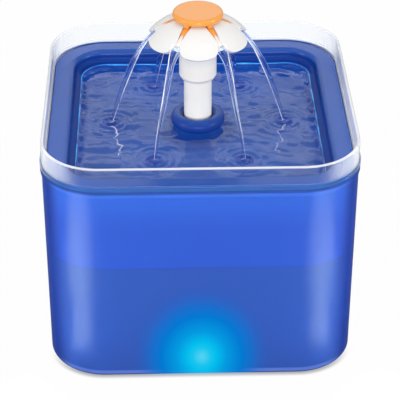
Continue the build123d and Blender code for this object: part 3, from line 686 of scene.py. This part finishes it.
def edge_reach(half, angle):
    """Distance from the axis, in a direction, to a square parallel to the tank's wall."""
    radius = TANK_CORNER - (TANK_HALF - half)
    straight = half - radius
    a, b = abs(cos(angle)), abs(sin(angle))
    flat = half / max(a, b)
    if min(a, b) * flat <= straight:
        return flat
    along = straight * (a + b)
    return along + sqrt(max(along * along - 2 * straight * straight + radius * radius, 0.0))


# ---------------------------------------------------------------- water


def plane_waves(count, shortest, longest, slope):
    """Crossing waves that run mostly front to back: direction, length, phase and height."""
    draw = Random(RIPPLE_SEED)
    waves = []
    for _ in range(count):
        length = draw.uniform(shortest, longest)
        waves.append((draw.gauss(pi / 2, 0.6), length, draw.uniform(0, 2 * pi),
                      slope * length / (2 * pi)))
    return waves


CHOP = plane_waves(count=26, shortest=5.6, longest=22.0, slope=0.0190)


def ripple(x, y):
    """Height of the pool's surface over its level."""
    height = 0.0
    for angle, length, phase, size in CHOP:
        along = x * cos(angle) + y * sin(angle)
        height += size * sin(2 * pi * along / length + phase)
    for k, (cx, cy) in enumerate(LANDINGS):
        d = hypot(x - cx, y - cy)
        ring = cos(2 * pi * d / RING_LENGTH + 0.9 * k)
        height += RING_HEIGHT * exp(-(d / RING_REACH) ** 2) * ring
    return height


def pool_point(t, angle, inner, half, level, lively):
    """Point of a water surface: t runs from its inner edge to its outer edge."""
    outer = edge_reach(half, angle)
    reach = inner + (outer - inner) * t
    x, y = reach * cos(angle), reach * sin(angle)
    wall = (outer - reach) * 0.9
    creep = 0.9 * exp(-wall / CREEP_REACH)
    if inner > 0:
        creep += 0.7 * exp(-(reach - inner) / CREEP_REACH)
    lap = 0.45 * exp(-((wall - 2.2) / 1.6) ** 2) * sin(31 * angle + 2.1 * sin(7 * angle))
    calm = min(1.0, wall / 4.0 + 0.3)
    return (x, y, level + lively * (ripple(x, y) * calm + lap) + creep * min(lively, 1.0))


def ring_steps(count):
    """Steps from 0 to 1, closer together near both ends."""
    return [0.5 - 0.5 * cos(pi * i / (count - 1)) for i in range(count)]


def make_pool(material):
    """The tray's water: a rippled sheet that meets the boss and the basin's wall."""
    columns, rows = 420, 120
    angles = [2 * pi * j / columns for j in range(columns)]
    points = [pool_point(t, a, BOSS_R, POOL_HALF, POOL_Z, 1.0)
              for t in ring_steps(rows) for a in angles]
    faces = [face[::-1] for face in grid_faces(rows, columns)]
    return make_piece("pool_water", points, faces, material)


def make_reservoir(material):
    """The tank's water, with a gently moving surface."""
    columns, rows = 160, 40
    angles = [2 * pi * j / columns for j in range(columns)]
    points = [pool_point(0.02 + 0.98 * t, a, 0.0, RESERVOIR_HALF, RESERVOIR_Z, 0.6)
              for t in ring_steps(rows) for a in angles]
    rounding = ((0.2, 4.5), (1.6, 1.2), (5, 0))  # in from the wall, up from the floor
    for inset, up in rounding:
        reaches = [edge_reach(RESERVOIR_HALF - inset, a) for a in angles]
        points += [(reach * cos(a), reach * sin(a), RESERVOIR_FLOOR_Z + up)
                   for reach, a in zip(reaches, angles)]
    faces = tube_faces(rows + len(rounding), columns)
    reservoir = make_piece("reservoir_water", points, faces, material)
    outward(reservoir)
    return reservoir


def make_meniscus(material):
    """Thin raised bead where the pool meets the basin's wall."""
    columns, section = 300, 8
    points = []
    for j in range(columns):
        angle = 2 * pi * j / columns
        reach = edge_reach(POOL_HALF + 0.05, angle) - 0.16
        lift = 0.14 * sin(9 * angle + 1.0) + 0.12 * sin(23 * angle)
        thick = 0.42 + 0.14 * sin(13 * angle + 2 * sin(5 * angle))
        for s in range(section):
            turn = 2 * pi * s / section
            r = reach + thick * cos(turn)
            points.append((r * cos(angle), r * sin(angle),
                           POOL_Z + 0.75 + lift + thick * sin(turn)))
    faces = [(i * section + j, i * section + (j + 1) % section,
              ((i + 1) % columns) * section + (j + 1) % section,
              ((i + 1) % columns) * section + j)
             for i in range(columns) for j in range(section)]
    bead = make_piece("pool_meniscus", points, faces, material)
    outward(bead)
    return bead


def stream_centre(t):
    """Reach and height of a falling stream, from the petal gap (0) to the pool (1)."""
    reach = STREAM_TOP_R + (STREAM_LAND_R - STREAM_TOP_R) * t
    drop = STREAM_TOP_Z - POOL_Z
    return reach, STREAM_TOP_Z - drop * (FIRST_FALL * t + (1 - FIRST_FALL) * t * t)


def stream_section(t, k):
    """Half width, rim radius and twist of the flattened stream, mirrored left to right."""
    side = 1 if k >= PETALS / 2 else -1
    twin = max(k, PETALS - 1 - k)  # the same for a stream and its mirror image
    pinch = abs(cos(pi * (1.25 * t + 0.08 * (twin % 3))))
    width = (2.3 * (1 - t) ** 1.2 + 0.30) * (0.40 + 0.60 * pinch)
    rim = 0.75 * (1 - t) ** 0.7 + 0.58
    turned = 0.7 if twin == 4 else 0.0  # the side streams show their width to the front
    twist = side * (turned + radians(20) * t + 0.25 * sin(5 * t + twin))
    return width, rim, twist


def make_stream(k, angle, film, bright, dark):
    """One ribbon of water: a thin film between a rim with a painted highlight and a rim with
    painted shade.
    """
    rows, section = 56, 20
    out = Vector((cos(angle), sin(angle), 0))
    side = Vector((-sin(angle), cos(angle), 0))
    points = []
    for i in range(rows):
        t = i / (rows - 1)
        reach, z = stream_centre(t)
        ahead = stream_centre(min(t + 0.01, 1.01))
        along = (out * (ahead[0] - reach) + Vector((0, 0, ahead[1] - z))).normalized()
        face = along.cross(side).normalized()
        width, rim, twist = stream_section(t, k)
        wobble = 0.5 * sin(7 * t + 2 * k) * t * (1 - t) * 4
        centre = out * reach + Vector((0, 0, z)) + side * wobble
        flat = side * cos(twist) + face * sin(twist)
        thick = face * cos(twist) - side * sin(twist)
        for s in range(section):
            turn = 2 * pi * s / section
            waist = 0.22 + 0.78 * abs(cos(turn)) ** 2
            points.append(centre + flat * cos(turn) * (width + rim)
                          + thick * sin(turn) * rim * waist)
    stream = make_piece(f"stream_{k + 1}", points, tube_faces(rows, section), film)
    stream.data.materials.append(bright)
    stream.data.materials.append(dark)
    half = section // 2
    rims = ({section - 2, section - 1, 0, 1}, {half - 2, half - 1, half, half + 1})
    # The painted highlight goes on one rim and the painted shade on the other, mirrored left to
    # right
    bright_rim = rims[k >= PETALS / 2]
    for polygon in stream.data.polygons[:(rows - 1) * section]:
        column = polygon.index % section
        if column in rims[0] | rims[1]:
            polygon.material_index = 1 if column in bright_rim else 2
    outward(stream)
    return stream


def make_groove_film(k, angle, material):
    """Thin water running out along one gap between the petals."""
    rows, columns = 18, 7
    lift, edge = 0.25, 0.25  # clearance over the web, and thickness along the sides
    out = Vector((cos(angle), sin(angle), 0))
    side = Vector((-sin(angle), cos(angle), 0))
    points = []
    for layer in (1, 0):
        for i in range(rows):
            t = i / (rows - 1)
            reach = GROOVE_START + GROOVE_LENGTH * t
            half = 1.0 + 0.5 * t
            swell = min(max((t - 0.05) / 0.4, 0.0), 1.0)
            for j in range(columns):
                u = 2 * j / (columns - 1) - 1
                crown = (0.55 + 0.85 * swell) * (1 - u ** 4)
                height = WEB_R + lift + layer * (edge + crown)
                plan = out * reach + side * (half * u)
                z = WEB_Z + sqrt(height ** 2 - plan.length ** 2)
                points.append(plan + Vector((0, 0, z)))
    top = grid_faces(rows, columns, closed=False)
    shift = rows * columns
    under = [tuple(shift + v for v in reversed(face)) for face in top]
    rim = [i * columns for i in range(rows)]
    rim += [(rows - 1) * columns + j for j in range(1, columns)]
    rim += [i * columns + columns - 1 for i in range(rows - 2, -1, -1)]
    rim += [j for j in range(columns - 2, 0, -1)]
    walls = [(a, b, b + shift, a + shift) for a, b in zip(rim, rim[1:] + rim[:1])]
    film = make_piece(f"groove_film_{k + 1}", points, top + under + walls, material)
    outward(film)
    return film


def make_splash(k, centre, material):
    """Bubbles where a stream lands."""
    draw = Random(100 + k)
    cx, cy = centre
    shape = bmesh.new()
    for _ in range(9):
        spin, away = draw.uniform(0, 2 * pi), draw.uniform(0.8, 7.5)
        size = draw.uniform(0.28, 0.75)
        x, y = cx + away * cos(spin), cy + away * sin(spin)
        spot = Matrix.Translation(Vector((x, y, POOL_Z + ripple(x, y) + size * 0.15)) * MM)
        bmesh.ops.create_uvsphere(shape, u_segments=12, v_segments=8, radius=size * MM,
                                  matrix=spot @ Matrix.Diagonal((1, 1, 0.8, 1)))
    mesh = bpy.data.meshes.new(f"bubbles_{k + 1}")
    shape.to_mesh(mesh)
    shape.free()
    return place_mesh(f"bubbles_{k + 1}", mesh, material)


def make_wake(side, material):
    """Crooked raised thread on the pool, from a side stream's landing to the front, white with a
    painted glint.
    """
    rows, section = 60, 8
    points = []
    for i in range(rows):
        t = i / (rows - 1)
        crook = 1.3 * sin(13 * t + side) + 0.7 * sin(33 * t + 2 * side)
        x = side * (STREAM_LAND_R - 1.0 - 5.5 * t) + crook
        y = -4.5 - 33.0 * t + 0.8 * sin(29 * t)
        swell = 0.30 + 0.25 * t + 0.45 * abs(sin(6 * t + 0.5))
        thick = WAKE_THICK[side] * swell * sqrt(1.02 - t ** 6)
        for s in range(section):
            turn = 2 * pi * s / section
            points.append((x + thick * cos(turn), y,
                           POOL_Z + ripple(x, y) + 0.12 + 0.6 * thick * sin(turn)))
    name = "wake_left" if side < 0 else "wake_right"
    wake = make_piece(name, points, tube_faces(rows, section), material)
    outward(wake)
    return wake


def add_water():
    """All that is liquid: the tray's pool, the tank's water, the streams and the films."""
    still = water_material("still_water", (0.90, 0.96, 1.0), (0.93, 0.96, 1.0))
    film = groove_material()
    falling = water_material("falling_water", (0.80, 0.88, 1.0), (0.97, 0.98, 1.0))
    bright_rim = bright_rim_material()
    dark_rim = dark_rim_material()
    edge = meniscus_material()
    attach(make_pool(pool_material()), "tray")
    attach(make_meniscus(edge), "tray")
    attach(make_reservoir(still), "tank")
    for side in WAKE_THICK:
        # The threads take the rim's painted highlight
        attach(make_wake(side, bright_rim), "tray")
    for k, angle in enumerate(GAP_ANGLES):
        stream = make_stream(k, angle, falling, bright_rim, dark_rim)
        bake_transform(stream)
        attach(make_groove_film(k, angle, film), "flower")
        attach(make_splash(k, LANDINGS[k], falling), "riser")


# ---------------------------------------------------------------- studio


def tank_distance(look):
    """Distance outside the tank's rounded square outline."""
    x, y, _ = look.axes()
    straight = (TANK_HALF - TANK_CORNER) * MM
    over = [look.math("MAXIMUM", look.minus(look.math("ABSOLUTE", axis), straight))
            for axis in (x, y)]
    return look.minus(look.length(*over), TANK_CORNER * MM)


def add_floor():
    """Pale table that looks white to the eye and through glass, with a painted shadow along the
    tank's front that lets the table's real shading show there.
    """
    look = Look("studio_floor", Base_Color=(0.36, 0.36, 0.365), Roughness=0.7)
    white = look.add("ShaderNodeEmission")
    look.put(white.inputs["Color"], (1, 1, 1))
    look.put(white.inputs["Strength"], 1.0)
    # Painted shadow: along the tank's front less of the white, so the grey table's shading shows
    front_shadow = look.times(look.between_mm(tank_distance(look), 3.2, -0.3),
                             look.between_mm(look.axes()[1], -60, -84))
    share = look.minus(0.985, look.times(front_shadow, SHADOW_SHARE))
    mix_shaders(look.tree, look.output, look.times(seen_by_eye(look.tree), share),
                look.shader.outputs[0], white.outputs[0])
    corners = ((-1, -1), (1, -1), (1, 1), (-1, 1))
    points = [(TABLE_HALF * x, TABLE_HALF * y, TABLE_Z) for x, y in corners]
    floor = make_piece("studio_floor", points, [(0, 1, 2, 3)], look.material, smooth=False)


def add_world():
    """Soft light from all round, behind a background that is white to the eye."""
    world = bpy.data.worlds.new("studio")
    world.use_nodes = True
    bpy.context.scene.world = world
    tree = world.node_tree
    light = tree.nodes["Background"]
    light.inputs["Color"].default_value = (1.0, 0.995, 0.99, 1)
    light.inputs["Strength"].default_value = 0.62
    white = tree.nodes.new("ShaderNodeBackground")
    white.inputs["Color"].default_value = (1, 1, 1, 1)
    white.inputs["Strength"].default_value = 1.0
    mix_shaders(tree, tree.nodes["World Output"], seen_by_eye(tree),
                light.outputs[0], white.outputs[0])


def area_lamp(name, place, size, watts):
    """A rectangular lamp that shines straight down until it is turned."""
    light = bpy.data.lights.new(name, "AREA")
    light.shape = "RECTANGLE"
    light.size, light.size_y = size[0] * MM, size[1] * MM
    light.energy = watts
    lamp = bpy.data.objects.new(name, light)
    lamp.location = Vector(place) * MM
    bpy.context.scene.collection.objects.link(lamp)
    return lamp


def add_table_strip(name, side, reach, size, watts):
    """Lamp low over the table, whose bright patch there a front corner mirrors."""
    turn = radians(STRIP_TURN)
    x, y, z = STRIP_CORNER
    place = (side * (x + reach * sin(turn)), y - reach * cos(turn), z)
    lamp = area_lamp(name, place, size, watts)
    lamp.rotation_euler = (0, 0, side * turn)
    lamp.data.color = (0.78, 0.95, 1.0)
    lamp.data.spread = radians(20)
    lamp.visible_camera = False
    lamp.visible_transmission = False


def add_lamps():
    for name, place, size, watts in LAMPS:
        lamp = area_lamp(name, place, size, watts)
        aim = (Vector(LAMPS_AIM) - Vector(place)).normalized()
        lamp.rotation_euler = aim.to_track_quat("-Z", "Y").to_euler()
    for side, name in ((-1, "left"), (1, "right")):
        for part, reach, size, watts in STRIPS:
            add_table_strip(f"{name}_{part}_strip", side, reach, size, watts)


def add_camera():
    azimuth, elevation = radians(CAMERA_AZIMUTH), radians(CAMERA_ELEVATION)
    back = Vector((sin(azimuth) * cos(elevation), -cos(azimuth) * cos(elevation),
                   sin(elevation)))
    data = bpy.data.cameras.new("camera")
    data.sensor_width = 36.0
    data.lens = LENS_MM
    data.shift_x, data.shift_y = SHIFT_X, SHIFT_Y
    data.clip_start, data.clip_end = 0.05, 20.0
    camera = bpy.data.objects.new("camera", data)
    camera.location = (Vector((0, 0, AIM_Z)) + back * CAMERA_DISTANCE) * MM
    camera.rotation_euler = (-back).to_track_quat("-Z", "Y").to_euler()
    bpy.context.scene.collection.objects.link(camera)
    bpy.context.scene.camera = camera


bpy.context.scene.view_settings.view_transform = "Standard"
add_camera()
add_world()
add_floor()
add_lamps()
dress_nodes(slot_materials())
add_water()

bpy.context.view_layer.update()
